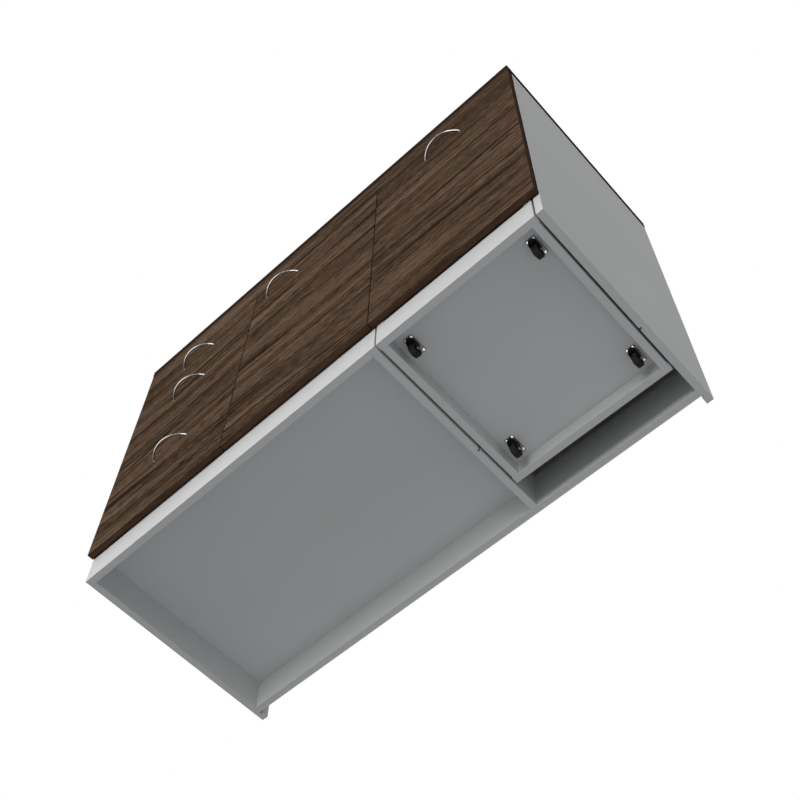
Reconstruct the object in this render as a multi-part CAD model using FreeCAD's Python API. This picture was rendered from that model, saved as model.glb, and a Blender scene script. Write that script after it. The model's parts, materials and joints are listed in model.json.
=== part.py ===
import FreeCAD, Part
import math
import os

# A base kitchen cabinet: three drawers, a door bay and a cart that rolls out on casters.
# Millimetres. X runs to the right, Y to the back and Z up. The origin is on the floor,
# under the middle of the whole object, pulls and worktop included.

# Boards
panel_t = 18.5
front_t = 18.0
worktop_t = 30.0
back_t = 6.0
drawer_side_t = 15.0
drawer_bottom_t = 6.0

# Carcase
drawer_bay_w = 451.0
door_bay_w = 461.6
cart_bay_w = 461.4
carcase_d = 610.0
carcase_h = 1035.0
toe_h = 95.0
back_ear = 25.0
back_rail_h = 125.0
back_panel_lift = 30.0
back_groove_depth = 6.0
back_groove_play = 0.1
bay_groove_y = 355.0
bay_groove_w = 6.0
bay_groove_depth = 6.0
stretcher_w = 100.0
worktop_overhang = 1.5
worktop_edge_r = 2.0

# Fronts
front_gap = 2.0
front_reveal = 3.0
front_drop = 5.0
front_edge_r = 1.0
fascia_h = 98.0
top_front_h = 187.0
cart_front_lap = 4.6
bumper_d = 6.0
bumper_play = 0.2
bumper_drop = 40.0

# Bow pulls and their screws
pull_centres = 122.0
pull_wire_d = 5.0
pull_rise = 29.0
pull_foot_d = 6.5
pull_foot_h = 5.5
pull_drop = 74.0
door_pull_inset = 52.0
pull_screw_d = 4.0
pull_screw_bite = 4.5
pull_screw_play = 0.1
screw_head_d = 8.0
screw_head_h = 2.5

# Drawer boxes and their slides
box_back_gap = 83.0
box_lift = 40.0
box_top_gap = 45.0
box_bottom_inset = 12.0
box_groove_depth = 6.0
box_groove_play = 0.1
slide_space = 12.7
slide_h = 45.0
slide_sheet = 1.2
slide_play = 0.4
slide_setback = 2.0

# Door bay
shelf_z = 520.0
shelf_setback = 25.0
shelf_back_gap = 10.0
shelf_side_gap = 0.5
pin_d = 5.0
pin_depth = 8.0
pin_reach = 8.0
pin_inset = 60.0
pin_play = 0.05
pin_pitch = 32.0
pin_holes_each_way = 5

# Concealed hinges of the door
hinge_inset = 100.0
cup_d = 35.0
cup_depth = 12.0
cup_wall = 1.0
cup_edge_gap = 5.0
cup_play = 0.1
cup_flange_w = 12.0
cup_flange_h = 58.0
cup_flange_t = 1.2
arm_pin_x = 15.0
arm_pin_y = 4.0
arm_pin_d = 3.0
arm_pin_play = 0.05
arm_w = 10.0
arm_len = 58.0
arm_h = 12.0
arm_cheek_t = 1.6
arm_cheek_play = 0.4
arm_eye_gap = 1.5
plate_setback = 28.0
plate_len = 34.0
plate_h = 44.0
link_len = 45.0
link_t = 3.0
link_eye_d = 7.0

# Cart
cart_side_gap = 5.0
cart_plinth_lip = 1.6
cart_back_gap = 79.0
cart_floor_gap = 1.5
cart_plinth_lap = 1.0
cart_top_gap = 16.0
cart_shelf_z = 480.0

# Casters under the cart
caster_inset_x = 49.0
caster_inset_y = 68.0
caster_trail = 6.0
caster_plate_w = 26.0
caster_plate_len = 52.0
caster_plate_t = 2.0
caster_screw_inset = 5.0
caster_screw_d = 3.0
caster_screw_len = 12.0
caster_screw_play = 0.1
caster_head_d = 6.0
caster_head_h = 1.6
kingpin_d = 6.0
kingpin_play = 0.05
kingpin_head_d = 9.0
kingpin_head_h = 1.0
swivel_boss_d = 16.0
swivel_boss_h = 2.9
swivel_play = 0.2
wheel_d = 34.0
wheel_w = 15.0
wheel_edge_r = 2.0
wheel_play = 0.7
axle_d = 5.0
axle_play = 0.05
fork_crown_t = 4.0
fork_crown_gap = 1.5
fork_cheek_t = 1.8
fork_cheek_r = 6.0
fork_shoulder = 12.0
fork_lead = 18.0
fork_nose_w = 13.0

# Places across the cabinet, from left to right
total_w = 4 * panel_t + drawer_bay_w + door_bay_w + cart_bay_w
left_x = -total_w / 2
right_x = total_w / 2
drawer_bay = (left_x + panel_t, left_x + panel_t + drawer_bay_w)
door_bay = (drawer_bay[1] + panel_t, drawer_bay[1] + panel_t + door_bay_w)
cart_bay = (door_bay[1] + panel_t, door_bay[1] + panel_t + cart_bay_w)
drawer_seam_x = (drawer_bay[1] + door_bay[0]) / 2
drawer_front_x = (left_x, drawer_seam_x - front_reveal / 2)
cart_front_x = (cart_bay[0] - cart_front_lap, right_x)
door_x = (drawer_seam_x + front_reveal / 2, cart_front_x[0] - front_reveal)

# Places from front to back
pull_reach = pull_rise + pull_wire_d / 2
pull_bore_d = pull_screw_d + 2 * pull_screw_play
total_d = pull_reach + front_t + front_gap + carcase_d + worktop_overhang
front_face_y = -total_d / 2 + pull_reach
front_back_y = front_face_y + front_t
carcase_y = front_back_y + front_gap
carcase_back_y = carcase_y + carcase_d
back_panel_y = carcase_back_y - back_ear
back_rail_y = back_panel_y - panel_t

# Places above the floor
fascia_z = carcase_h - fascia_h
front_top_z = fascia_z - front_reveal
front_bottom_z = toe_h - front_drop
floor_top_z = toe_h + panel_t
top_front_z = front_top_z - top_front_h
deep_front_h = (top_front_z - front_bottom_z - 2 * front_reveal) / 2
middle_front_z = front_bottom_z + deep_front_h + front_reveal

# The drawers, from the lowest: name, lower edge and upper edge of the front
drawers = [
    ("bottom", front_bottom_z, front_bottom_z + deep_front_h),
    ("middle", middle_front_z, middle_front_z + deep_front_h),
    ("top", top_front_z, front_top_z),
]
box_x = (drawer_bay[0] + slide_space, drawer_bay[1] - slide_space)
box_front_y = front_back_y
box_back_y = back_panel_y - box_back_gap
slide_y = (carcase_y + slide_setback, box_back_y)

# The cart's outline on the floor and the swivel axes of its casters
cart_x = (cart_bay[0] + cart_side_gap, cart_bay[1] - cart_side_gap)
cart_side_x = (cart_x[0] + cart_plinth_lip, cart_x[1] - cart_plinth_lip)
cart_back_y = back_rail_y - cart_back_gap
cart_plinth_top_z = front_bottom_z + cart_plinth_lap
cart_h = front_top_z - cart_top_gap
casters = {
    "front_left": (cart_x[0] + caster_inset_x, carcase_y + caster_inset_y),
    "front_right": (cart_x[1] - caster_inset_x, carcase_y + caster_inset_y),
    "back_left": (cart_x[0] + caster_inset_x, cart_back_y - caster_inset_y),
    "back_right": (cart_x[1] - caster_inset_x, cart_back_y - caster_inset_y),
}
wheel_z = wheel_d / 2

# Heights in a caster, from the top of its wheel to the cart's bottom board
crown_z = wheel_d + fork_crown_gap
crown_top_z = crown_z + fork_crown_t
caster_boss_z = crown_top_z + swivel_play
caster_plate_z = caster_boss_z + swivel_boss_h
cart_bottom_z = caster_plate_z + caster_plate_t

# The door turns about its front right corner; its hinges stand at two heights
door_axis = (door_x[1], front_face_y)
hinge_heights = (front_bottom_z + hinge_inset, front_top_z - hinge_inset)
arm_pin = (door_bay[1] - arm_pin_x, carcase_y + arm_pin_y)

X_AXIS = FreeCAD.Vector(1, 0, 0)
Y_AXIS = FreeCAD.Vector(0, 1, 0)
Z_AXIS = FreeCAD.Vector(0, 0, 1)


def box(x, y, z):
    """A board between two places along each axis."""
    return Part.makeBox(x[1] - x[0], y[1] - y[0], z[1] - z[0], FreeCAD.Vector(x[0], y[0], z[0]))


def rod(d, start, axis, length):
    return Part.makeCylinder(d / 2, length, FreeCAD.Vector(*start), axis)


def save(node, *solids):
    shape = solids[0] if len(solids) == 1 else Part.makeCompound(list(solids))
    shape.exportStep(os.path.join("parts", node + ".step"))


def profile(points, depth, axis):
    """A board cut to an outline, as thick as depth along axis."""
    corners = [FreeCAD.Vector(*point) for point in points]
    return Part.Face(Part.makePolygon(corners + corners[:1])).extrude(axis * depth)


def front_board(x, z):
    """A front with the edges round its outer face eased."""
    board = box(x, (front_face_y, front_back_y), z)
    outer = [e for e in board.Edges if all(abs(v.Y - front_face_y) < 1e-6 for v in e.Vertexes)]
    return board.makeFillet(front_edge_r, outer)


# Pulls
def pull_feet(centre_x):
    return (centre_x - pull_centres / 2, centre_x + pull_centres / 2)


def pull_holes(centre_x, z, inner_y):
    """Clearance holes for the pull's screws, from the front's face to inner_y."""
    depth = inner_y - front_face_y
    bores = [rod(pull_bore_d, (x, front_face_y, z), Y_AXIS, depth) for x in pull_feet(centre_x)]
    return Part.makeCompound(bores)


def pull(centre_x, z, inner_y):
    """A bow of round wire that springs from the front's face, its two feet, and the two screws behind it."""
    radius = ((pull_centres / 2) ** 2 + pull_rise ** 2) / (2 * pull_rise)
    centre = FreeCAD.Vector(centre_x, front_face_y - pull_rise + radius, z)
    half = math.acos((radius - pull_rise - pull_wire_d) / radius)
    start = centre - FreeCAD.Vector(math.sin(half), math.cos(half), 0) * radius
    along = FreeCAD.Vector(math.cos(half), -math.sin(half), 0)
    section = Part.Face(Part.Wire(Part.Circle(start, along, pull_wire_d / 2).toShape()))
    bow = section.revolve(centre, Z_AXIS, math.degrees(2 * half))
    behind_x = (centre_x - pull_centres, centre_x + pull_centres)
    behind_z = (z - pull_wire_d, z + pull_wire_d)
    bow = bow.cut(box(behind_x, (front_face_y, front_face_y + pull_rise), behind_z))
    screws = []
    for x in pull_feet(centre_x):
        bow = bow.fuse(rod(pull_foot_d, (x, front_face_y, z), -Y_AXIS, pull_foot_h))
        bow = bow.cut(rod(pull_bore_d, (x, front_face_y, z), -Y_AXIS, pull_screw_bite + pull_screw_play))
        shank = rod(pull_screw_d, (x, inner_y, z), -Y_AXIS, inner_y - front_face_y + pull_screw_bite)
        head = rod(screw_head_d, (x, inner_y, z), Y_AXIS, screw_head_h)
        screws.append(shank.fuse(head).removeSplitter())
    return [bow.removeSplitter()] + screws


# Carcase boards
def back_groove(face_x, side):
    """The groove for the back panel, cut into a side panel's inner face."""
    x = sorted((face_x, face_x + side * back_groove_depth))
    y = (back_panel_y - back_groove_play, back_panel_y + back_t + back_groove_play)
    return box(x, y, (0, carcase_h))


def bay_groove(face_x, side):
    """The upright groove in the two boards that face the cart."""
    x = sorted((face_x, face_x + side * bay_groove_depth))
    y = (carcase_y + bay_groove_y, carcase_y + bay_groove_y + bay_groove_w)
    return box(x, y, (0, carcase_h))


def partition(x, foot_z):
    """An upright board that meets the back panel and is notched for the back rail."""
    board = box(x, (carcase_y, back_panel_y), (foot_z, carcase_h))
    return board.cut(box(x, (back_rail_y, back_panel_y), (foot_z, back_rail_h)))


def shelf_rows(face_x, outward):
    """The pins that carry the shelf in one face of the door bay, and the rows of holes they can move to."""
    start_x = face_x - outward * pin_depth
    pin_z = shelf_z - pin_d / 2
    steps = range(-pin_holes_each_way, pin_holes_each_way + 1)
    pins = []
    holes = []
    for y in (carcase_y + shelf_setback + pin_inset, back_panel_y - shelf_back_gap - pin_inset):
        pins.append(rod(pin_d, (start_x, y, pin_z), X_AXIS * outward, pin_depth + pin_reach))
        rows = [(start_x, y, pin_z + step * pin_pitch) for step in steps]
        holes += [rod(pin_d + 2 * pin_play, start, X_AXIS * outward, pin_depth) for start in rows]
    return pins, Part.makeCompound(holes)


def carcase_boards():
    whole_depth = (carcase_y, carcase_back_y)
    full_height = (0, carcase_h)
    left = box((left_x, drawer_bay[0]), whole_depth, full_height)
    save("left_side_panel", left.cut(back_groove(drawer_bay[0], -1)))
    right = box((cart_bay[1], right_x), whole_depth, full_height)
    save("right_side_panel", right.cut(back_groove(cart_bay[1], 1)).cut(bay_groove(cart_bay[1], 1)))

    drawer_side = partition((drawer_bay[1], door_bay[0]), floor_top_z)
    bay_side = partition((door_bay[1], cart_bay[0]), 0).cut(bay_groove(cart_bay[0], -1))
    left_pins, left_holes = shelf_rows(door_bay[0], 1)
    right_pins, right_holes = shelf_rows(door_bay[1], -1)
    save("drawer_partition", drawer_side.cut(left_holes))
    save("bay_partition", bay_side.cut(right_holes))
    save("shelf_pins", *left_pins, *right_pins)

    fixed_bays = (drawer_bay[0], door_bay[1])
    save("bottom_panel", box(fixed_bays, (carcase_y, back_rail_y), (toe_h, floor_top_z)))
    save("toe_kick_board", box(fixed_bays, (carcase_y, carcase_y + panel_t), (0, toe_h)))
    inside = (drawer_bay[0], cart_bay[1])
    save("back_rail", box(inside, (back_rail_y, back_panel_y), (0, back_rail_h)))
    groove_floor = back_groove_depth - back_groove_play
    back_x = (inside[0] - groove_floor, inside[1] + groove_floor)
    save("back_panel", box(back_x, (back_panel_y, back_panel_y + back_t), (back_panel_lift, carcase_h)))
    stretcher_z = (carcase_h - panel_t, carcase_h)
    stretcher_depths = ((carcase_y, carcase_y + stretcher_w), (back_panel_y - stretcher_w, back_panel_y))
    bays = (drawer_bay, door_bay, cart_bay)
    save("top_stretchers", *[box(bay, depth, stretcher_z) for bay in bays for depth in stretcher_depths])
    save("front_fascia", box((left_x, right_x), (front_face_y, carcase_y), (fascia_z, carcase_h)))

    shelf_x = (door_bay[0] + shelf_side_gap, door_bay[1] - shelf_side_gap)
    shelf_y = (carcase_y + shelf_setback, back_panel_y - shelf_back_gap)
    save("door_shelf", box(shelf_x, shelf_y, (shelf_z, shelf_z + panel_t)))

    slab_x = (left_x - worktop_overhang, right_x + worktop_overhang)
    slab_y = (front_face_y - worktop_overhang, carcase_back_y + worktop_overhang)
    slab = box(slab_x, slab_y, (carcase_h, carcase_h + worktop_t))
    save("worktop", slab.makeFillet(worktop_edge_r, slab.Edges))


def front_bumpers():
    """Small pads on the carcase edges that the drawer fronts and the door close against."""
    left_edge = (left_x + drawer_bay[0]) / 2
    drawer_edge = (drawer_bay[1] + drawer_front_x[1]) / 2
    door_edge = (door_x[0] + door_bay[0]) / 2
    places = [(x, top - bumper_drop) for _, _, top in drawers for x in (left_edge, drawer_edge)]
    places += [(door_edge, front_bottom_z + bumper_drop), (door_edge, front_top_z - bumper_drop)]
    thickness = front_gap - bumper_play
    save("front_bumpers", *[rod(bumper_d, (x, carcase_y, z), -Y_AXIS, thickness) for x, z in places])


# Drawers on side-mounted slides of three nested channels
def slide_channel(wall_x, side, z, part):
    """One member of a slide: 0 on the carcase, 1 between, 2 on the drawer. Side points at the drawer."""
    inset = part * (slide_sheet + slide_play)
    half = slide_h / 2 - inset
    if part < 2:
        web = (inset, inset + slide_sheet)
        reach = (inset, slide_space - (2 - part) * (slide_sheet + slide_play))
    else:
        web = (slide_space - slide_sheet, slide_space)
        reach = (inset, slide_space)

    def across(span):
        return sorted(wall_x + side * along for along in span)

    channel = box(across(web), slide_y, (z - half, z + half))
    channel = channel.fuse(box(across(reach), slide_y, (z + half - slide_sheet, z + half)))
    channel = channel.fuse(box(across(reach), slide_y, (z - half, z - half + slide_sheet)))
    return channel.removeSplitter()


def drawer_slides(box_z, part):
    height = box_z + slide_h
    return [slide_channel(drawer_bay[0], 1, height, part), slide_channel(drawer_bay[1], -1, height, part)]


def drawer(name, front_z, front_top):
    box_z = front_z + box_lift
    centre_x = sum(drawer_bay) / 2
    pull_z = front_top - pull_drop
    inner_y = box_front_y + drawer_side_t
    holes = pull_holes(centre_x, pull_z, inner_y)
    save(name + "_drawer_front", front_board(drawer_front_x, (front_z, front_top)).cut(holes))
    save(name + "_drawer_handle", *pull(centre_x, pull_z, inner_y))

    inner_x = (box_x[0] + drawer_side_t, box_x[1] - drawer_side_t)
    box_y = (box_front_y, box_back_y)
    height = (box_z, front_top - box_top_gap)
    groove_x = (inner_x[0] - box_groove_depth, inner_x[1] + box_groove_depth)
    groove_y = (inner_y - box_groove_depth, box_back_y - drawer_side_t + box_groove_depth)
    bottom_z = box_z + box_bottom_inset
    groove_z = (bottom_z - box_groove_play, bottom_z + drawer_bottom_t + box_groove_play)
    groove = box(groove_x, groove_y, groove_z)
    sides = [box((box_x[0], inner_x[0]), box_y, height), box((inner_x[1], box_x[1]), box_y, height)]
    ends = [box(inner_x, (box_front_y, inner_y), height).cut(holes)]
    ends.append(box(inner_x, (box_back_y - drawer_side_t, box_back_y), height))
    save(name + "_drawer_sides", *[board.cut(groove) for board in sides])
    save(name + "_drawer_ends", *[board.cut(groove) for board in ends])
    floor_x = (groove_x[0] + box_groove_play, groove_x[1] - box_groove_play)
    floor_y = (groove_y[0] + box_groove_play, groove_y[1] - box_groove_play)
    save(name + "_drawer_bottom", box(floor_x, floor_y, (bottom_z, bottom_z + drawer_bottom_t)))
    save(name + "_slide_middles", *drawer_slides(box_z, 1))
    save(name + "_drawer_runners", *drawer_slides(box_z, 2))
    return drawer_slides(box_z, 0)


# Door and its concealed hinges
def hinge_cup(z):
    """A pressed cup sunk in the door's back, with its flange on the surface."""
    centre = (door_x[1] - cup_edge_gap - cup_d / 2, front_back_y, z)
    cup = rod(cup_d, centre, -Y_AXIS, cup_depth)
    flange_y = (front_back_y, front_back_y + cup_flange_t)
    wing_x = (centre[0] - cup_flange_w, centre[0])
    wings = box(wing_x, flange_y, (z - cup_flange_h / 2, z + cup_flange_h / 2))
    rim = rod(cup_d + 2 * cup_wall, centre, Y_AXIS, cup_flange_t)
    mouth = (centre[0], flange_y[1], z)
    bowl = rod(cup_d - 2 * cup_wall, mouth, -Y_AXIS, cup_depth + cup_flange_t - cup_wall)
    return cup.fuse(wings).fuse(rim).cut(bowl).removeSplitter()


def hinge_arm(z):
    """The arm on the bay partition, with two cheeks and the pin that carries the link."""
    plate_face = arm_pin[0] + arm_w / 2 + arm_eye_gap
    arm_x = (plate_face - arm_w, plate_face)
    arm_y = (arm_pin[1] + link_eye_d / 2 + arm_eye_gap, carcase_y + arm_pin_y + arm_len)
    arm = box(arm_x, arm_y, (z - arm_h / 2, z + arm_h / 2))
    cheek_x = (arm_pin[0] - link_eye_d / 2, arm_pin[0] + link_eye_d / 2)
    cheek_y = (arm_pin[1] - link_eye_d / 2, arm_y[0])
    for edge_z in (z - arm_h / 2, z + arm_h / 2 - arm_cheek_t):
        arm = arm.fuse(box(cheek_x, cheek_y, (edge_z, edge_z + arm_cheek_t)))
    arm = arm.fuse(rod(arm_pin_d, (arm_pin[0], arm_pin[1], z - arm_h / 2), Z_AXIS, arm_h))
    return arm.removeSplitter()


def hinge_plate(z):
    plate_x = (arm_pin[0] + arm_w / 2 + arm_eye_gap, door_bay[1])
    plate_y = (carcase_y + plate_setback, carcase_y + plate_setback + plate_len)
    return box(plate_x, plate_y, (z - plate_h / 2, z + plate_h / 2))


def hinge_link(z):
    """The link between arm and cup, lying along the back of the closed door."""
    half_h = arm_h / 2 - arm_cheek_t - arm_cheek_play
    eye = rod(link_eye_d, (arm_pin[0], arm_pin[1], z - half_h), Z_AXIS, 2 * half_h)
    tip_x = arm_pin[0] - link_len
    bar_y = (arm_pin[1] - link_t / 2, arm_pin[1] + link_t / 2)
    bar = box((tip_x, arm_pin[0]), bar_y, (z - half_h, z + half_h))
    tip = rod(link_t, (tip_x, arm_pin[1], z - half_h), Z_AXIS, 2 * half_h)
    bore_d = arm_pin_d + 2 * arm_pin_play
    bore = rod(bore_d, (arm_pin[0], arm_pin[1], z - half_h), Z_AXIS, 2 * half_h)
    return eye.fuse(bar).fuse(tip).cut(bore).removeSplitter()


def door():
    pull_x = door_x[0] + door_pull_inset + pull_centres / 2
    pull_z = front_top_z - pull_drop
    board = front_board(door_x, (front_bottom_z, front_top_z)).cut(pull_holes(pull_x, pull_z, front_back_y))
    cup_x = door_x[1] - cup_edge_gap - cup_d / 2
    bore_d = cup_d + 2 * cup_play
    for z in hinge_heights:
        board = board.cut(rod(bore_d, (cup_x, front_back_y, z), -Y_AXIS, cup_depth + cup_play))
    save("door_panel", board)
    save("door_handle", *pull(pull_x, pull_z, front_back_y))
    save("hinge_cups", *[hinge_cup(z) for z in hinge_heights])
    save("hinge_arms", *[hinge_arm(z) for z in hinge_heights])
    save("hinge_plates", *[hinge_plate(z) for z in hinge_heights])
    save("hinge_links", *[hinge_link(z) for z in hinge_heights])


# Cart: an open-backed box behind a fixed front, on a plinth that hides its casters
def cart_side(x):
    """A side board, notched at both lower corners for the plinth boards."""
    front_y = carcase_y + panel_t
    back_y = cart_back_y - panel_t
    outline = [
        (x, front_y, cart_floor_gap),
        (x, back_y, cart_floor_gap),
        (x, back_y, cart_plinth_top_z),
        (x, cart_back_y, cart_plinth_top_z),
        (x, cart_back_y, cart_h),
        (x, front_back_y, cart_h),
        (x, front_back_y, cart_plinth_top_z),
        (x, front_y, cart_plinth_top_z),
    ]
    return profile(outline, panel_t, X_AXIS)


def cart_boards():
    pull_x = sum(cart_front_x) / 2
    pull_z = front_top_z - pull_drop
    holes = pull_holes(pull_x, pull_z, front_back_y)
    save("cart_front", front_board(cart_front_x, (front_bottom_z, front_top_z)).cut(holes))
    save("cart_handle", *pull(pull_x, pull_z, front_back_y))
    save("cart_sides", cart_side(cart_side_x[0]), cart_side(cart_side_x[1] - panel_t))
    inner_x = (cart_side_x[0] + panel_t, cart_side_x[1] - panel_t)
    plinth_z = (cart_floor_gap, cart_plinth_top_z)
    save("cart_plinth_front", box(cart_x, (carcase_y, carcase_y + panel_t), plinth_z))
    save("cart_plinth_back", box(cart_x, (cart_back_y - panel_t, cart_back_y), plinth_z))
    inner_y = (carcase_y + panel_t, cart_back_y - panel_t)
    bottom = box(inner_x, inner_y, (cart_bottom_z, cart_bottom_z + panel_t))
    hole_d = caster_screw_d + 2 * caster_screw_play
    for axis in casters.values():
        for x, y in plate_corners(*axis):
            bottom = bottom.cut(rod(hole_d, (x, y, cart_bottom_z), Z_AXIS, caster_screw_len))
    save("cart_bottom", bottom)
    board_y = (front_back_y, cart_back_y)
    save("cart_shelf", box(inner_x, board_y, (cart_shelf_z, cart_shelf_z + panel_t)))
    save("cart_top", box(inner_x, board_y, (cart_h - panel_t, cart_h)))


# Casters
def plate_corners(x, y):
    """The screws' places in a plate, which is centred over the wheel as it trails behind its kingpin."""
    side = caster_plate_w / 2 - caster_screw_inset
    end = caster_plate_len / 2 - caster_screw_inset
    middle = y + caster_trail
    return [(x + across, middle + along) for across in (-side, side) for along in (-end, end)]


def caster_plate(x, y):
    """The plate under the cart, with the boss and the riveted kingpin that hold the fork."""
    middle = y + caster_trail
    plate_x = (x - caster_plate_w / 2, x + caster_plate_w / 2)
    plate_y = (middle - caster_plate_len / 2, middle + caster_plate_len / 2)
    plate = box(plate_x, plate_y, (caster_plate_z, cart_bottom_z))
    plate = plate.fuse(rod(swivel_boss_d, (x, y, caster_boss_z), Z_AXIS, swivel_boss_h))
    head_z = crown_z - kingpin_play - kingpin_head_h
    plate = plate.fuse(rod(kingpin_d, (x, y, head_z), Z_AXIS, caster_plate_z - head_z))
    plate = plate.fuse(rod(kingpin_head_d, (x, y, head_z), Z_AXIS, kingpin_head_h))
    hole_d = caster_screw_d + 2 * caster_screw_play
    for screw_x, screw_y in plate_corners(x, y):
        plate = plate.cut(rod(hole_d, (screw_x, screw_y, caster_plate_z), Z_AXIS, caster_plate_t))
    return plate.removeSplitter()


def caster_screw(x, y):
    head = rod(caster_head_d, (x, y, caster_plate_z - caster_head_h), Z_AXIS, caster_head_h)
    reach = caster_plate_t + caster_screw_len - caster_screw_play
    return head.fuse(rod(caster_screw_d, (x, y, caster_plate_z), Z_AXIS, reach)).removeSplitter()


def caster_fork(x, y):
    """A crown on the kingpin that narrows to a nose, a cheek each side of the wheel, and the axle."""
    inner = wheel_w / 2 + wheel_play
    outer = inner + fork_cheek_t
    axle_y = y + caster_trail
    back_y = axle_y + fork_cheek_r
    shoulder_y = y - fork_shoulder
    nose_y = y - fork_lead
    crown_outline = [
        (x - outer, back_y, crown_z),
        (x - outer, shoulder_y, crown_z),
        (x - fork_nose_w / 2, nose_y, crown_z),
        (x + fork_nose_w / 2, nose_y, crown_z),
        (x + outer, shoulder_y, crown_z),
        (x + outer, back_y, crown_z),
    ]
    crown = profile(crown_outline, fork_crown_t, Z_AXIS)
    crown = crown.cut(rod(kingpin_d + 2 * kingpin_play, (x, y, crown_z), Z_AXIS, fork_crown_t))
    for cheek_x in (x - outer, x + inner):
        outline = [
            (cheek_x, shoulder_y, crown_z),
            (cheek_x, axle_y - fork_cheek_r, wheel_z),
            (cheek_x, back_y, wheel_z),
            (cheek_x, back_y, crown_z),
        ]
        cheek = profile(outline, fork_cheek_t, X_AXIS)
        cheek = cheek.fuse(rod(2 * fork_cheek_r, (cheek_x, axle_y, wheel_z), X_AXIS, fork_cheek_t))
        crown = crown.fuse(cheek)
    bore_d = axle_d + 2 * axle_play
    fork = crown.cut(rod(bore_d, (x - outer, axle_y, wheel_z), X_AXIS, 2 * outer)).removeSplitter()
    axle = rod(axle_d, (x - outer, axle_y, wheel_z), X_AXIS, 2 * outer)
    return fork, axle


def caster_wheel(x, y):
    axle_y = y + caster_trail
    wheel = rod(wheel_d, (x - wheel_w / 2, axle_y, wheel_z), X_AXIS, wheel_w)
    rims = [e for e in wheel.Edges if isinstance(e.Curve, Part.Circle)]
    wheel = wheel.makeFillet(wheel_edge_r, rims)
    bore_d = axle_d + 2 * axle_play
    return wheel.cut(rod(bore_d, (x - wheel_w / 2, axle_y, wheel_z), X_AXIS, wheel_w))


def caster_set():
    save("caster_plates", *[caster_plate(x, y) for x, y in casters.values()])
    screws = [corner for axis in casters.values() for corner in plate_corners(*axis)]
    save("caster_screws", *[caster_screw(x, y) for x, y in screws])
    for place, (x, y) in casters.items():
        save("caster_fork_" + place, *caster_fork(x, y))
        save("caster_wheel_" + place, caster_wheel(x, y))


os.makedirs("parts", exist_ok=True)
carcase_boards()
front_bumpers()
fixed_slides = []
for name, front_z, front_top in drawers:
    fixed_slides += drawer(name, front_z, front_top)
save("fixed_slides", *fixed_slides)
door()
cart_boards()
caster_set()
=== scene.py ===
import json
import math
import bmesh
import bpy
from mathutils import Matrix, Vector

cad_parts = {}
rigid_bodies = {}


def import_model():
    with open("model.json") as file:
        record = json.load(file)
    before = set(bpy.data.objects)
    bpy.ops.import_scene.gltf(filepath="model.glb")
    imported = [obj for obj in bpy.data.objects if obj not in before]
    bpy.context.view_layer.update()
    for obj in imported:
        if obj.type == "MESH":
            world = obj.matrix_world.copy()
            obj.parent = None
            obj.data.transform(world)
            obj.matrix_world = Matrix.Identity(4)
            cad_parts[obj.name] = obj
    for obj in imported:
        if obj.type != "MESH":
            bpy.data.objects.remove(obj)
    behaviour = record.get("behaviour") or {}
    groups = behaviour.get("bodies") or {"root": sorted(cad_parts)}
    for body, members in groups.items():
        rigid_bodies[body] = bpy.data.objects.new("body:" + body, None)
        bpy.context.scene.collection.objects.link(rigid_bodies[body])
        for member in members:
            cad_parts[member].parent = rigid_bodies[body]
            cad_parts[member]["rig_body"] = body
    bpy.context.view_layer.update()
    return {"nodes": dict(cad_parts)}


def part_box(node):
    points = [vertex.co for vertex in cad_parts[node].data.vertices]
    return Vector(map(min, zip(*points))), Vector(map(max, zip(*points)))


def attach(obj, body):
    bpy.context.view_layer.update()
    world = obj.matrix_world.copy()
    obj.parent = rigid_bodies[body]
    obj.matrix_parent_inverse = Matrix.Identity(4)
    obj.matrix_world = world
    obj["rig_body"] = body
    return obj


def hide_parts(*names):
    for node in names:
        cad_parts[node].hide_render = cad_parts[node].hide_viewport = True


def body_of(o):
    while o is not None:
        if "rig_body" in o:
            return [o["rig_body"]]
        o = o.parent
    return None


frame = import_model()

# Carcase boards
# Chipboard panels under white melamine film, edged in the same white, dowelled and glued together.
# The film is cloudy and faintly pearled, and the trimmer leaves the boards' long edges slightly round.
mm = 0.001
cad_weld = 0.001 * mm
mesh_weld = 0.0001 * mm
flat_angle = math.radians(0.5)
sharp_angle = math.radians(35.0)
board_edge = 0.5 * mm
board_edge_steps = 2
short_edge = 30.0 * mm
white_film = (0.66, 0.665, 0.67)
film_shade = 0.965
film_roughness = 0.42
film_clouds = (3.0, 3.0, 3.0)
film_pearl = (700.0, 700.0, 700.0)
film_sheen = (-0.05, 0.06)
pearl_relief = 0.08 * mm
tone_stops = (0.3, 0.7)


def add_node(tree, kind, settings=None, inputs=None):
    """A new node with its settings, its inputs set to values or linked to other nodes' outputs."""
    made = tree.nodes.new(kind)
    for name, value in (settings or {}).items():
        setattr(made, name, value)
    for name, value in (inputs or {}).items():
        if isinstance(value, bpy.types.NodeSocket):
            tree.links.new(value, made.inputs[name])
        else:
            made.inputs[name].default_value = value
    return made


def new_finish(name, **sockets):
    """A material of one Principled shader with those sockets set, its tree and its shader."""
    material = bpy.data.materials.new(name)
    material.use_nodes = True
    shader = material.node_tree.nodes["Principled BSDF"]
    for socket, value in sockets.items():
        shader.inputs[socket.replace("_", " ")].default_value = value
    return material, material.node_tree, shader


def noise(tree, scale, detail=2.0, roughness=0.5, place=None):
    """Noise on the object's own coordinates, with a scale for each axis in cycles a metre."""
    place = place or add_node(tree, "ShaderNodeTexCoord").outputs["Object"]
    stretched = add_node(tree, "ShaderNodeVectorMath", {"operation": "MULTIPLY"}, {0: place, 1: scale})
    texture = add_node(tree, "ShaderNodeTexNoise", None, {
        "Vector": stretched.outputs[0], "Scale": 1.0, "Detail": detail, "Roughness": roughness})
    return texture.outputs["Fac"]


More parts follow.
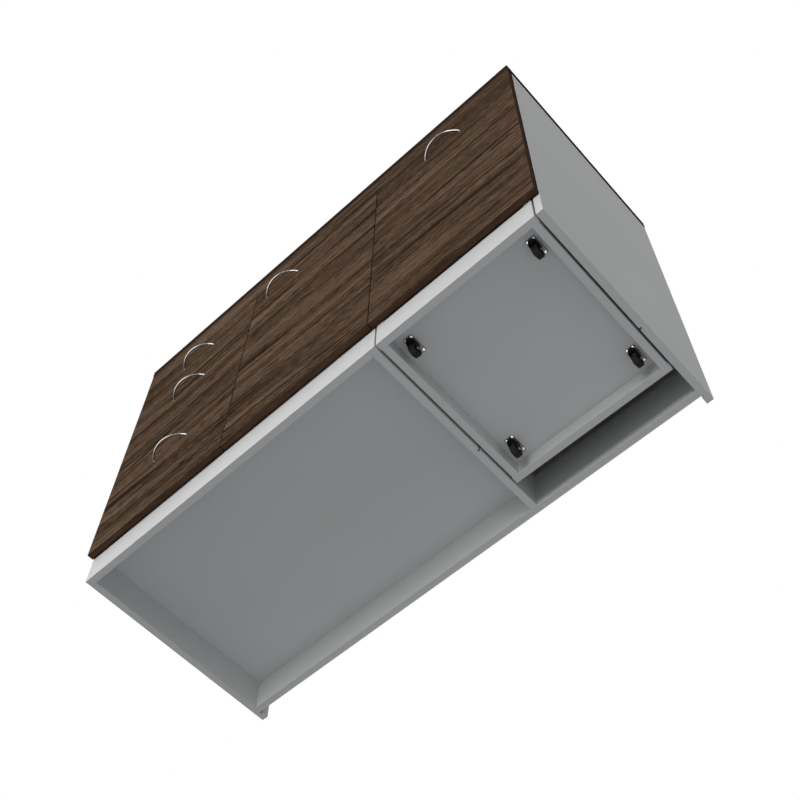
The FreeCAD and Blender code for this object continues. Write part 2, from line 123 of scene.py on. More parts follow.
def ramp(tree, factor, stops):
    """A colour for each factor, from stops of a place between 0 and 1 and a colour."""
    made = add_node(tree, "ShaderNodeValToRGB", None, {"Fac": factor})
    elements = made.color_ramp.elements
    while len(elements) < len(stops):
        elements.new(1.0)
    for element, (place, colour) in zip(elements, stops):
        element.position = place
        element.color = (*colour, 1.0)
    return made.outputs["Color"]


def two_tone(tree, factor, dark, light):
    """A colour from dark to light over the middle of a noise's range."""
    return ramp(tree, factor, list(zip(tone_stops, (dark, light))))


def shaded(colour, share):
    """That share of a colour's brightness."""
    return tuple(c * share for c in colour)


def span(tree, value, low, high, from_low=0.0, from_high=1.0):
    """The value carried from one range to another."""
    made = add_node(tree, "ShaderNodeMapRange", None, {
        "Value": value, "From Min": from_low, "From Max": from_high, "To Min": low, "To Max": high})
    return made.outputs["Result"]


def bump(tree, shader, height, distance):
    """Relief of that distance in metres on the shader's surface."""
    made = add_node(tree, "ShaderNodeBump", None, {"Height": height, "Distance": distance})
    tree.links.new(made.outputs["Normal"], shader.inputs["Normal"])


def board_film(name, colour, roughness=film_roughness):
    """A board's film: cloudy by a hair at the scale of a hand, pearled at that of a millimetre."""
    material, tree, shader = new_finish(name, Specular_IOR_Level=0.01)
    clouds = noise(tree, film_clouds, 3.0)
    tone = two_tone(tree, clouds, shaded(colour, film_shade), colour)
    tree.links.new(tone, shader.inputs["Base Color"])
    pearl = noise(tree, film_pearl, 2.0)
    sheen = span(tree, pearl, *(roughness + change for change in film_sheen))
    tree.links.new(sheen, shader.inputs["Roughness"])
    bump(tree, shader, pearl, pearl_relief)
    return material


def new_piece(name, mesh):
    """A new object of that mesh, in the scene."""
    piece = bpy.data.objects.new(name, mesh)
    bpy.context.scene.collection.objects.link(piece)
    return piece


def merged(node):
    """A copy of a CAD node's mesh, with its loose triangles joined up."""
    shape = bmesh.new()
    shape.from_mesh(frame["nodes"][node].data)
    bmesh.ops.remove_doubles(shape, verts=shape.verts, dist=cad_weld)
    return shape


def sharp_edges(shape):
    """The edges where two faces meet at an angle, once flat neighbours are one face."""
    bmesh.ops.dissolve_limit(shape, angle_limit=flat_angle, verts=shape.verts, edges=shape.edges)
    shared = [edge for edge in shape.edges if len(edge.link_faces) == 2]
    return [edge for edge in shared if edge.calc_face_angle() > sharp_angle]


def finish_shape(shape, name, material):
    """The mesh of a shape, closed up, turned outwards and smooth apart from its sharp edges."""
    bmesh.ops.remove_doubles(shape, verts=shape.verts, dist=mesh_weld)
    bmesh.ops.recalc_face_normals(shape, faces=shape.faces)
    mesh = bpy.data.meshes.new(name)
    shape.to_mesh(mesh)
    shape.free()
    mesh.shade_smooth()
    mesh.set_sharp_from_angle(angle=sharp_angle)
    mesh.materials.append(material)
    return mesh


def stand_in(shape, name, node, finish):
    """The shape as a piece that takes a CAD node's place and rides as the node does."""
    piece = new_piece(name, finish_shape(shape, name, finish))
    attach(piece, body_of(frame["nodes"][node])[0])
    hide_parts(node)
    return piece


def edged_boards(finish, slot, *nodes):
    """Boards with flat faces and eased long edges, in place of the CAD nodes."""
    for node in nodes:
        shape = merged(node)
        sharp = sharp_edges(shape)
        outer = [edge for edge in sharp if edge.is_convex and edge.calc_length() > short_edge]
        bmesh.ops.bevel(shape, geom=outer, offset=board_edge, segments=board_edge_steps, profile=0.5,
                        affect="EDGES")
        stand_in(shape, node + "_edged", node, finish).data.shade_flat()


white_melamine = board_film("white_melamine", white_film)
edged_boards(white_melamine, "white_laminate", "left_side_panel", "right_side_panel", "bay_partition",
             "drawer_partition", "bottom_panel", "toe_kick_board", "back_rail", "top_stretchers")

# Back panel
# Thin white hardboard that slides into the side panels' grooves and is screwed to the partitions,
# the rail and the rear stretcher. Each screw has an oval zinc-plated head with a cross recess.
back_screw_head = 7.0 * mm
back_screw_rise = 1.6 * mm
back_screw_pitch = 140.0 * mm
back_screw_end = 60.0 * mm
edge_screw_pitch = 210.0 * mm
hardboard_film = (0.74, 0.74, 0.73)
hardboard_roughness = 0.5
zinc_grey = (0.40, 0.405, 0.41)
zinc_roughness = 0.32
plating_shade = 0.88
plating_blotches = (38.0, 38.0, 38.0)
plating_sheen = (-0.06, 0.08)
strip_grain = (220.0, 220.0, 220.0)
strip_relief = 0.02 * mm
head_segments = 20
head_rings = 10
recess_length = 0.62
recess_width = 0.13


def sheet_metal(name, colour, roughness, grain=strip_grain):
    """Plated metal whose shine varies as its plating does, with the grain of the strip below it."""
    material, tree, shader = new_finish(name, Metallic=1.0)
    blotches = noise(tree, plating_blotches, 3.0)
    tone = two_tone(tree, blotches, shaded(colour, plating_shade), colour)
    tree.links.new(tone, shader.inputs["Base Color"])
    strip = noise(tree, grain, 3.0)
    sheen = span(tree, strip, *(roughness + change for change in plating_sheen))
    tree.links.new(sheen, shader.inputs["Roughness"])
    bump(tree, shader, strip, strip_relief)
    return material


def math_node(tree, operation, *values):
    """The result of a mathematical operation on values or outputs."""
    return add_node(tree, "ShaderNodeMath", {"operation": operation}, dict(enumerate(values))).outputs[0]


def times(tree, first, second):
    """The product of two values or outputs."""
    return math_node(tree, "MULTIPLY", first, second)


def triple(tree, x, y, z=0.0):
    """A vector of three values or outputs."""
    return add_node(tree, "ShaderNodeCombineXYZ", None, {"X": x, "Y": y, "Z": z}).outputs[0]


def head_tree():
    """Round heads on points that carry the direction they face, with or without a cross recess."""
    tree = bpy.data.node_groups.new("round_heads", "GeometryNodeTree")
    socket = tree.interface.new_socket
    socket("Geometry", in_out="INPUT", socket_type="NodeSocketGeometry")
    for name in ("Head", "Rise"):
        socket(name, in_out="INPUT", socket_type="NodeSocketFloat")
    socket("Recess", in_out="INPUT", socket_type="NodeSocketBool")
    socket("Seed", in_out="INPUT", socket_type="NodeSocketInt")
    socket("Finish", in_out="INPUT", socket_type="NodeSocketMaterial")
    socket("Geometry", in_out="OUTPUT", socket_type="NodeSocketGeometry")
    given = tree.nodes.new("NodeGroupInput").outputs

    def block(size, place):
        cube = add_node(tree, "GeometryNodeMeshCube", None, {"Size": size})
        return add_node(tree, "GeometryNodeTransform", None, {
            "Geometry": cube.outputs["Mesh"], "Translation": place}).outputs[0]

    def less(first, *seconds):
        cut = {"operation": "DIFFERENCE", "solver": "EXACT"}
        made = add_node(tree, "GeometryNodeMeshBoolean", cut, {"Mesh 1": first})
        for second in seconds:
            tree.links.new(second, made.inputs["Mesh 2"])
        return made.outputs["Mesh"]

    ball = add_node(tree, "GeometryNodeMeshUVSphere", None, {
        "Segments": head_segments, "Rings": head_rings, "Radius": 1.0})
    smooth = add_node(tree, "GeometryNodeSetShadeSmooth", None, {"Geometry": ball.outputs["Mesh"]})
    radius = times(tree, given["Head"], 0.5)
    oval = add_node(tree, "GeometryNodeTransform", None, {
        "Geometry": smooth.outputs[0], "Scale": triple(tree, radius, radius, given["Rise"])}).outputs[0]
    wide = times(tree, given["Head"], 2.0)
    below = triple(tree, 0.0, 0.0, times(tree, given["Head"], -1.0))
    lower = block(triple(tree, wide, wide, wide), below)
    dome = less(oval, lower)
    length = times(tree, given["Head"], recess_length)
    width = times(tree, given["Head"], recess_width)
    crown = triple(tree, 0.0, 0.0, given["Rise"])
    arms = ((length, width), (width, length))
    bars = [block(triple(tree, *arm, given["Rise"]), crown) for arm in arms]
    head = add_node(tree, "GeometryNodeSwitch", {"input_type": "GEOMETRY"}, {
        "Switch": given["Recess"], "False": dome, "True": less(dome, *bars)})
    facing = add_node(tree, "GeometryNodeInputNamedAttribute", {"data_type": "FLOAT_VECTOR"}, {
        "Name": "facing"})
    aimed = add_node(tree, "FunctionNodeAlignRotationToVector", {"axis": "Z"}, {
        "Vector": facing.outputs["Attribute"]})
    # Sockets 2 and 3 of a random number are its least and its greatest value.
    roll = add_node(tree, "FunctionNodeRandomValue", {"data_type": "FLOAT"}, {
        2: 0.0, 3: math.pi / 2, "Seed": given["Seed"]})
    spin = add_node(tree, "FunctionNodeAxisAngleToRotation", None, {
        "Axis": (0.0, 0.0, 1.0), "Angle": roll.outputs[1]})
    turned = add_node(tree, "FunctionNodeRotateRotation", {"rotation_space": "LOCAL"}, {
        "Rotation": aimed.outputs[0], "Rotate By": spin.outputs[0]})
    placed = add_node(tree, "GeometryNodeInstanceOnPoints", None, {
        "Points": given["Geometry"], "Instance": head.outputs[0], "Rotation": turned.outputs[0]})
    solid = add_node(tree, "GeometryNodeRealizeInstances", None, {"Geometry": placed.outputs[0]})
    painted = add_node(tree, "GeometryNodeSetMaterial", None, {
        "Geometry": solid.outputs[0], "Material": given["Finish"]})
    tree.links.new(painted.outputs[0], tree.nodes.new("NodeGroupOutput").inputs["Geometry"])
    return tree


round_heads = head_tree()


def grown(piece, tree, **values):
    """The piece with the plain mesh that a node tree makes of it, its inputs set to those values."""
    modifier = piece.modifiers.new("made", "NODES")
    modifier.node_group = tree
    for item in tree.interface.items_tree:
        if item.in_out == "INPUT" and item.name in values:
            modifier[item.identifier] = values[item.name]
    mesh = bpy.data.meshes.new_from_object(piece.evaluated_get(bpy.context.evaluated_depsgraph_get()))
    piece.modifiers.clear()
    piece.data = mesh
    return piece


def heads(name, body, finish, places, head, rise, recess=True, seed=1):
    """Round heads at those places, each of them a point on a surface and the way it faces."""
    mesh = bpy.data.meshes.new(name)
    mesh.from_pydata([point for point, facing in places], [], [])
    aims = mesh.attributes.new("facing", "FLOAT_VECTOR", "POINT")
    for aim, (point, facing) in zip(aims.data, places):
        aim.vector = facing
    piece = grown(new_piece(name, mesh), round_heads, Head=head, Rise=rise, Recess=recess, Seed=seed,
                  Finish=finish)
    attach(piece, body)
    return piece


def dress(material, *nodes):
    """Gives CAD nodes a material."""
    for node in nodes:
        slots = frame["nodes"][node].data.materials
        slots.clear()
        slots.append(material)


def middle(node):
    """The centre of a CAD node's box."""
    low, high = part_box(node)
    return (low + high) / 2


def spread(start, end, pitch):
    """Places from start to end, evenly and at about that pitch."""
    steps = max(1, round((end - start) / pitch))
    return [start + (end - start) * step / steps for step in range(steps + 1)]


white_hardboard = board_film("white_hardboard", hardboard_film, hardboard_roughness)
dress(white_hardboard, "back_panel")
zinc_plate = sheet_metal("zinc_plate", zinc_grey, zinc_roughness)

panel_low, panel_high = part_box("back_panel")
rail_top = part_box("back_rail")[1].z
back_points = []
for partition in ("drawer_partition", "bay_partition"):
    for z in spread(rail_top + back_screw_end, panel_high.z - back_screw_end, back_screw_pitch):
        back_points.append((middle(partition).x, panel_high.y, z))
for x in spread(panel_low.x + back_screw_end, panel_high.x - back_screw_end, edge_screw_pitch):
    back_points.append((x, panel_high.y, (panel_low.z + rail_top) / 2))
    back_points.append((x, panel_high.y, middle("top_stretchers").z))
heads("back_panel_screws", "carcase", zinc_plate,
      [(point, (0, 1, 0)) for point in back_points], back_screw_head, back_screw_rise, seed=11)

# Worktop
# A thin board under black laminate, with a brown-black band glued round its edges, screwed down
# through the stretchers. The laminate is a matt stone print: clouded, with a fine mineral fleck.
laminate_black = (0.0105, 0.0095, 0.0090)
laminate_cloud = (0.0190, 0.0172, 0.0160)
laminate_fleck = (0.0560, 0.0500, 0.0450)
band_dark = (0.032, 0.0172, 0.0108)
band_light = (0.040, 0.0212, 0.0130)
laminate_flecks = (420.0, 420.0, 420.0)
fleck_range = (0.60, 0.74)
laminate_clouds = (9.0, 9.0, 9.0)
cloud_range = (0.36, 0.64)
laminate_roughness = (0.36, 0.54)
laminate_relief = 0.06 * mm
band_fibres = (12.0, 12.0, 260.0)
band_roughness = (0.46, 0.60)
band_relief = 0.04 * mm
level_face = 0.7


def mixed_colour(tree, factor, first, second):
    """A colour between two others, each of them an output or red, green and blue."""
    # Sockets 6 and 7 of a mix are its two colours, and 2 is the colour that comes out.
    colours = [c if isinstance(c, bpy.types.NodeSocket) else (*c, 1.0) for c in (first, second)]
    return add_node(tree, "ShaderNodeMix", {"data_type": "RGBA"}, {
        "Factor": factor, 6: colours[0], 7: colours[1]}).outputs[2]


black_laminate, tree, shader = new_finish("black_laminate", Specular_IOR_Level=0.06)
flecks = noise(tree, laminate_flecks, 3.0, 0.6)
veil = noise(tree, laminate_clouds, 5.0, 0.6)
clouded = ramp(tree, veil, list(zip(cloud_range, (laminate_black, laminate_cloud))))
fleck_share = span(tree, flecks, 0.0, 1.0, *fleck_range)
tree.links.new(mixed_colour(tree, fleck_share, clouded, laminate_fleck), shader.inputs["Base Color"])
tree.links.new(span(tree, veil, *laminate_roughness), shader.inputs["Roughness"])
bump(tree, shader, flecks, laminate_relief)

edge_band, tree, shader = new_finish("edge_band", Specular_IOR_Level=0.0)
fibres = noise(tree, band_fibres, 2.0)
tree.links.new(two_tone(tree, fibres, band_dark, band_light), shader.inputs["Base Color"])
tree.links.new(span(tree, fibres, *band_roughness), shader.inputs["Roughness"])
bump(tree, shader, fibres, band_relief)

shape = merged("worktop")
for face in shape.faces:
    face.material_index = 0 if abs(face.normal.z) > level_face else 1
worktop = stand_in(shape, "worktop_laminated", "worktop", black_laminate)
worktop.data.materials.append(edge_band)
worktop.data.shade_flat()

# Fronts
# Boards faced with dark walnut veneer whose grain runs level, under a dead matt lacquer, with a plain
# band glued round their edges. Drawer and cart fronts sit on their boxes, the door on its hinges and the
# fascia on the carcase. Each group has its own part of the leaf; drawer fronts are cut as one piece.
leaf_shifts = {
    "fascia": (0.0, 0.0, 0.0),
    "drawers": (3.1, 0.0, 0.7),
    "door": (7.4, 0.0, 1.9),
    "cart": (12.6, 0.0, 3.2),
}
fronts = {
    "fascia": ("front_fascia",),
    "drawers": ("top_drawer_front", "middle_drawer_front", "bottom_drawer_front"),
    "door": ("door_panel",),
    "cart": ("cart_front",),
}
leaf_sway = (1.1, 1.0, 2.2)
sway_reach = 50.0 * mm
leaf_curl = (7.0, 9.0, 12.0)
curl_reach = 10.0 * mm
# Each layer of tone: cycles a metre along, through and across the grain, detail, roughness, weight.
grain_layers = (
    ((1.2, 6.0, 18.0), 1.0, 0.5, 0.52),
    ((2.4, 20.0, 78.0), 3.0, 0.75, 0.66),
    ((34.0, 150.0, 215.0), 2.0, 0.6, 0.70),
)
ring_figure = (0.8, 6.0, 15.0)
ring_count = 13.0
late_wood_share = 0.26
late_wood_breaks = (3.5, 40.0, 34.0)
late_wood_range = (0.46, 0.60)
late_wood_depth = 0.34
vein_figure = (0.7, 6.0, 24.0)
vein_half_width = 0.055
vein_breaks = (1.3, 6.0, 20.0)
vein_range = (0.47, 0.55)
vein_depth = 0.36
pore_figure = (90.0, 500.0, 1500.0)
pore_range = (0.54, 0.66)
pore_depth = 0.16
fibre_figure = (40.0, 200.0, 800.0)
fibre_relief = 0.1 * mm
lacquer_roughness = (0.75, 0.60)
tone_range = (0.48, 1.22)
veneer_colours = [
    (0.0, (0.026, 0.0142, 0.0082)), (0.37, (0.044, 0.0255, 0.015)), (0.491, (0.072, 0.045, 0.029)),
    (0.585, (0.097, 0.062, 0.041)), (0.678, (0.122, 0.081, 0.055)), (0.80, (0.160, 0.109, 0.076)),
    (1.0, (0.185, 0.128, 0.090))]
band_streaks = (16.0, 90.0, 160.0)
band_brown = (0.060, 0.0345, 0.0217)
band_pale = (0.110, 0.0635, 0.040)
face_range = (0.45, 0.75)
# Painted shade of the gap behind each front: where it begins and ends, measured from the back, and its
# colour.
gap_shade_reach = (3.2 * mm, 2.2 * mm)
gap_shade_colour = (0.012, 0.0085, 0.0065)


def walnut(name, shift, back_y):
    """Veneer from one part of the leaf, and on the edges the band with painted shade along its back."""
    material, tree, shader = new_finish("walnut_" + name, Specular_IOR_Level=0.0)
    coordinates = add_node(tree, "ShaderNodeTexCoord").outputs

    def moved(place, offset):
        made = add_node(tree, "ShaderNodeVectorMath", {"operation": "ADD"}, {0: place, 1: offset})
        return made.outputs[0]

    def less(tone, depth, amount):
        return math_node(tree, "MULTIPLY_ADD", amount, -depth, tone)

    # The leaf's fibres sway over a front's width and curl over a hand's width.
    leaf = moved(coordinates["Object"], shift)
    sway = span(tree, noise(tree, leaf_sway, 2.0, 0.5, leaf), -sway_reach, sway_reach)
    curl = span(tree, noise(tree, leaf_curl, 1.0, 0.5, leaf), -curl_reach, curl_reach)
    grain = moved(leaf, triple(tree, 0.0, 0.0, math_node(tree, "ADD", sway, curl)))

    # Tone from broad stripes to short flecks, then the late wood of the rings, dark veins and pores.
    tone = 0.0
    for figure, detail, roughness, weight in grain_layers:
        layer = noise(tree, figure, detail, roughness, grain)
        tone = math_node(tree, "MULTIPLY_ADD", layer, weight, tone)
    rings = times(tree, noise(tree, ring_figure, 1.5, 0.5, grain), ring_count)
    late_wood = span(tree, math_node(tree, "FRACT", rings), 1.0, 0.0, 0.0, late_wood_share)
    broken = span(tree, noise(tree, late_wood_breaks, 2.0, 0.6, grain), 0.0, 1.0, *late_wood_range)
    tone = less(tone, late_wood_depth, times(tree, late_wood, broken))
    contour = math_node(tree, "SUBTRACT", noise(tree, vein_figure, 0.0, 0.5, grain), 0.5)
    vein = span(tree, math_node(tree, "ABSOLUTE", contour), 1.0, 0.0, 0.0, vein_half_width)
    lasting = span(tree, noise(tree, vein_breaks, 1.0, 0.5, leaf), 0.0, 1.0, *vein_range)
    tone = less(tone, vein_depth, times(tree, vein, lasting))
    pores = span(tree, noise(tree, pore_figure, 2.0, 0.6, grain), 0.0, 1.0, *pore_range)
    tone = less(tone, pore_depth, pores)
    veneer = ramp(tree, span(tree, tone, 0.0, 1.0, *tone_range), veneer_colours)

    # What faces neither the front nor the back is band.
    plain = two_tone(tree, noise(tree, band_streaks, 3.0, 0.6), band_brown, band_pale)
    # The band's last few millimetres at the back are painted near-black, a painted shade of the gap
    # between front and carcase.
    depth = add_node(tree, "ShaderNodeSeparateXYZ", None, {0: coordinates["Object"]}).outputs["Y"]
    gap_shaded = span(tree, depth, 0.0, 1.0, *(back_y - place for place in gap_shade_reach))
    band = mixed_colour(tree, gap_shaded, plain, gap_shade_colour)
    facing = add_node(tree, "ShaderNodeSeparateXYZ", None, {0: coordinates["Normal"]}).outputs["Y"]
    on_face = span(tree, math_node(tree, "ABSOLUTE", facing), 0.0, 1.0, *face_range)
    tree.links.new(mixed_colour(tree, on_face, band, veneer), shader.inputs["Base Color"])
    fibres = noise(tree, fibre_figure, 2.0, 0.6, grain)
    tree.links.new(span(tree, fibres, *lacquer_roughness), shader.inputs["Roughness"])
    bump(tree, shader, fibres, fibre_relief)
    return material


for name, nodes in fronts.items():
    dress(walnut(name, leaf_shifts[name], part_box(nodes[0])[1].y), *nodes)

# Bumpers
# Clear soft domes, stuck to the carcase's front edges where the fronts close on them.
# They are moulded, so all are alike, with a flat back and a low round crown.
bumper_clouds = (400.0, 400.0, 400.0)
bumper_roughness = (0.28, 0.42)
bumper_grey = (0.78, 0.79, 0.79)
bumper_clear = (0.88, 0.88, 0.87)
corner_digits = 4


def solids(node):
    """Lowest and highest corner of each separate solid in a CAD node, in the order of the lowest."""
    shape = merged(node)
    found = []
    waiting = set(shape.verts)
    while waiting:
        reached = [waiting.pop()]
        points = []
        while reached:
            vertex = reached.pop()
            points.append(vertex.co.copy())
            for edge in vertex.link_edges:
                other = edge.other_vert(vertex)
                if other in waiting:
                    waiting.remove(other)
                    reached.append(other)
        found.append((Vector([min(p[k] for p in points) for k in range(3)]),
                      Vector([max(p[k] for p in points) for k in range(3)])))
    shape.free()
    return sorted(found, key=lambda corners: tuple(round(c, corner_digits) for c in corners[0]))


clear_soft, tree, shader = new_finish("clear_soft", Transmission_Weight=0.6, IOR=1.45,
                                      Specular_IOR_Level=0.3)
haze = noise(tree, bumper_clouds, 2.0)
tree.links.new(two_tone(tree, haze, bumper_grey, bumper_clear), shader.inputs["Base Color"])
tree.links.new(span(tree, haze, *bumper_roughness), shader.inputs["Roughness"])

bumper_boxes = solids("front_bumpers")
bumper_d = bumper_boxes[0][1].x - bumper_boxes[0][0].x
bumper_h = bumper_boxes[0][1].y - bumper_boxes[0][0].y
bumper_points = []
for low, high in bumper_boxes:
    bumper_points.append(((low.x + bumper_d / 2, high.y, low.z + bumper_d / 2), (0, -1, 0)))
bumpers = heads("bumper_domes", "carcase", clear_soft, bumper_points, bumper_d, bumper_h,
                recess=False)
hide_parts("front_bumpers")

# Drawer boxes
# White boards with a hardboard bottom in a groove all round, butted at the corners and screwed
# through the sides into the ends, clear of the slides.
box_screw_head = 6.5 * mm
box_screw_rise = 1.4 * mm
box_screw_inset = 7.5 * mm
box_screw_top = 22.0 * mm
box_screw_pitch = 85.0 * mm
box_white = (0.74, 0.74, 0.73)

box_film = board_film("box_film", box_white)
drawer_names = ("top", "middle", "bottom")
for name in drawer_names:
    drawer = name + "_drawer"
    edged_boards(box_film, "drawer_box_board", drawer + "_sides", drawer + "_ends")
    dress(white_hardboard, drawer + "_bottom")
    side_low, side_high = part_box(drawer + "_sides")
    slide_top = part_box(drawer + "_runners")[1].z
    box_points = []
    for z in spread(slide_top + box_screw_top, side_high.z - box_screw_top, box_screw_pitch):
        for y in (side_low.y + box_screw_inset, side_high.y - box_screw_inset):
            box_points.append(((side_low.x, y, z), (-1, 0, 0)))
            box_points.append(((side_high.x, y, z), (1, 0, 0)))
    heads(drawer + "_box_screws", drawer, zinc_plate, box_points,
          box_screw_head, box_screw_rise, seed=21)

# Slides
# Three nested channels a side, rolled from zinc-plated strip: one on the carcase, one between and
# one on the drawer, with screws along their webs. The rolls leave the bends and the lips round.
slide_bend_r = 2.2 * mm
slide_sheet = 1.2 * mm
slide_screw_head = 6.0 * mm
slide_screw_rise = 1.3 * mm
carcase_screw_rise = 0.3 * mm
slide_screw_end = 36.0 * mm
slide_screw_pitch = 215.0 * mm
bend_steps = 5


def arc_points(centre, radius, start, end, steps):
    """Points in a plane round a centre, from one angle in degrees to another."""
    angles = [math.radians(start + (end - start) * step / steps) for step in range(steps + 1)]
    return [(centre[0] + radius * math.cos(a), centre[1] + radius * math.sin(a)) for a in angles]


def prism(shape, outline, start, end):
    """A closed outline drawn out between two planes; start and end turn a point of it into a place."""
    rings = [[shape.verts.new(turn(point)) for point in outline] for turn in (start, end)]
    count = len(outline)
    for k in range(count):
        after = (k + 1) % count
        shape.faces.new((rings[0][k], rings[0][after], rings[1][after], rings[1][k]))
    shape.faces.new(list(reversed(rings[0])))
    shape.faces.new(rings[1])


def channel(shape, low, high, web_left):
    """A rolled channel along Y in that box, with its web on the left or on the right."""
    wide = high.x - low.x
    tall = high.z - low.z
    outer = arc_points((slide_bend_r, tall - slide_bend_r), slide_bend_r, 90, 180, bend_steps)
    outer += arc_points((slide_bend_r, slide_bend_r), slide_bend_r, 180, 270, bend_steps)
    lip_r = slide_sheet / 2
    lower_lip = arc_points((wide - lip_r, lip_r), lip_r, -90, 90, bend_steps)
    inner_r = slide_bend_r - slide_sheet
    inner = arc_points((slide_bend_r, slide_bend_r), inner_r, 270, 180, bend_steps)
    inner += arc_points((slide_bend_r, tall - slide_bend_r), inner_r, 180, 90, bend_steps)
    upper_lip = arc_points((wide - lip_r, tall - lip_r), lip_r, -90, 90, bend_steps)
    outline = outer + lower_lip + inner + upper_lip

    def place(point, y):
        x = low.x + point[0] if web_left else high.x - point[0]
        return (x, y, low.z + point[1])

    prism(shape, outline, lambda point: place(point, low.y), lambda point: place(point, high.y))


def channels(node, web_outside):
    """The channels of a node as one piece; a web is on the side of the carcase or of the drawer."""
    shape = bmesh.new()
    bay_middle = middle(node).x
    for low, high in solids(node):
        on_left = high.x < bay_middle
        channel(shape, low, high, on_left == web_outside)
    stand_in(shape, node + "_rolled", node, zinc_plate)


def web_screws(name, node, body, rise, web_outside, seed):
    """Screws along the webs of a node's channels, on the side that the channel opens to."""
    places = []
    bay_middle = middle(node).x
    for low, high in solids(node):
        on_left = high.x < bay_middle
        web_left = on_left == web_outside
        x = low.x + slide_sheet if web_left else high.x - slide_sheet
        for y in spread(low.y + slide_screw_end, high.y - slide_screw_end, slide_screw_pitch):
            places.append(((x, y, (low.z + high.z) / 2), (1 if web_left else -1, 0, 0)))
    heads(name, body, zinc_plate, places, slide_screw_head, rise, seed=seed)


channels("fixed_slides", web_outside=True)
web_screws("fixed_slide_screws", "fixed_slides", "carcase", carcase_screw_rise, web_outside=True, seed=31)
for name in drawer_names:
    drawer = name + "_drawer"
    channels(name + "_slide_middles", web_outside=True)
    channels(drawer + "_runners", web_outside=False)
    web_screws(name + "_runner_screws", drawer + "_runners", drawer, slide_screw_rise,
               web_outside=False, seed=32)

# Pulls
# A chromed wire bent into a shallow bow, with a small foot at each end. Two screws from inside the
# front hold each pull; on the drawers they go through the box end as well.
pull_centres = 122.0 * mm
pull_rise = 29.0 * mm
pull_wire_d = 5.0 * mm
pull_foot_d = 6.0 * mm
pull_foot_h = 1.2 * mm
pull_sink = 2.4 * mm
pull_screw_head = 8.0 * mm
pull_screw_rise = 2.4 * mm
pull_screw_seat = 2.5 * mm
pull_sharp_angle = math.radians(50.0)
bow_steps = 72
wire_steps = 20
foot_steps = 24
chrome_grey = (0.165, 0.165, 0.165)
chrome_roughness = 0.13
chrome_grain = (60.0, 900.0, 900.0)
pulls = (
    ("top_drawer_handle", "top_drawer_front", "top_drawer"),
    ("middle_drawer_handle", "middle_drawer_front", "middle_drawer"),
    ("bottom_drawer_handle", "bottom_drawer_front", "bottom_drawer"),
    ("door_handle", "door_panel", "door"),
    ("cart_handle", "cart_front", "cart"),
)


def bow_tree():
    """A wire bow that stands off a face in the XZ plane, with a tapered foot at each end."""
    tree = bpy.data.node_groups.new("bow_pull", "GeometryNodeTree")
    socket = tree.interface.new_socket
    socket("Geometry", in_out="INPUT", socket_type="NodeSocketGeometry")
    socket("Place", in_out="INPUT", socket_type="NodeSocketVector")
    for name in ("Centres", "Reach", "Rise", "Sink", "Wire", "Foot", "Foot Height"):
        socket(name, in_out="INPUT", socket_type="NodeSocketFloat")
    socket("Finish", in_out="INPUT", socket_type="NodeSocketMaterial")
    socket("Geometry", in_out="OUTPUT", socket_type="NodeSocketGeometry")
    given = tree.nodes.new("NodeGroupInput").outputs

    bow = add_node(tree, "GeometryNodeCurveArc", {"mode": "POINTS"}, {
        "Resolution": bow_steps,
        "Start": triple(tree, times(tree, given["Reach"], -1.0), given["Sink"]),
        "Middle": triple(tree, 0.0, times(tree, given["Rise"], -1.0)),
        "End": triple(tree, given["Reach"], given["Sink"])})
    wire_r = times(tree, given["Wire"], 0.5)
    section = add_node(tree, "GeometryNodeCurvePrimitiveCircle", None, {
        "Resolution": wire_steps, "Radius": wire_r})
    wire = add_node(tree, "GeometryNodeCurveToMesh", None, {
        "Curve": bow.outputs["Curve"], "Profile Curve": section.outputs["Curve"], "Fill Caps": True})
    parts = [wire.outputs["Mesh"]]
    foot_r = times(tree, given["Foot"], 0.5)
    for side in (-0.5, 0.5):
        foot = add_node(tree, "GeometryNodeMeshCone", None, {
            "Vertices": foot_steps, "Radius Top": wire_r, "Radius Bottom": foot_r,
            "Depth": given["Foot Height"]})
        moved = add_node(tree, "GeometryNodeTransform", None, {
            "Geometry": foot.outputs["Mesh"], "Rotation": (math.pi / 2, 0.0, 0.0),
            "Translation": triple(tree, times(tree, given["Centres"], side), 0.0)})
        parts.append(moved.outputs[0])
    joined = add_node(tree, "GeometryNodeJoinGeometry")
    for part in parts:
        tree.links.new(part, joined.inputs["Geometry"])
    moved = add_node(tree, "GeometryNodeTransform", None, {
        "Geometry": joined.outputs[0], "Translation": given["Place"]})
    solid = add_node(tree, "GeometryNodeRealizeInstances", None, {"Geometry": moved.outputs[0]})
    painted = add_node(tree, "GeometryNodeSetMaterial", None, {
        "Geometry": solid.outputs[0], "Material": given["Finish"]})
    tree.links.new(painted.outputs[0], tree.nodes.new("NodeGroupOutput").inputs["Geometry"])
    return tree


bow_pull = bow_tree()
bow_radius = ((pull_centres / 2) ** 2 + pull_rise ** 2) / (2 * pull_rise)
pull_reach = math.sqrt(bow_radius ** 2 - (bow_radius - pull_rise - pull_sink) ** 2)
bright_chrome = sheet_metal("bright_chrome", chrome_grey, chrome_roughness, chrome_grain)
for node, front, body in pulls:
    centre = middle(node)
    pull = grown(new_piece(node + "_bow", bpy.data.meshes.new(node)), bow_pull, **{
        "Place": (centre.x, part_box(front)[0].y, centre.z), "Centres": pull_centres,
        "Reach": pull_reach, "Rise": pull_rise, "Sink": pull_sink, "Wire": pull_wire_d,
        "Foot": pull_foot_d, "Foot Height": pull_foot_h, "Finish": bright_chrome})
    pull.data.shade_smooth()
    pull.data.set_sharp_from_angle(angle=pull_sharp_angle)
    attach(pull, body)
    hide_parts(node)
    inner_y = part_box(node)[1].y - pull_screw_seat
    ends = [((centre.x + side * pull_centres / 2, inner_y, centre.z), (0, 1, 0)) for side in (-1, 1)]
    heads(node + "_screws", body, zinc_plate, ends,
          pull_screw_head, pull_screw_rise, seed=41)

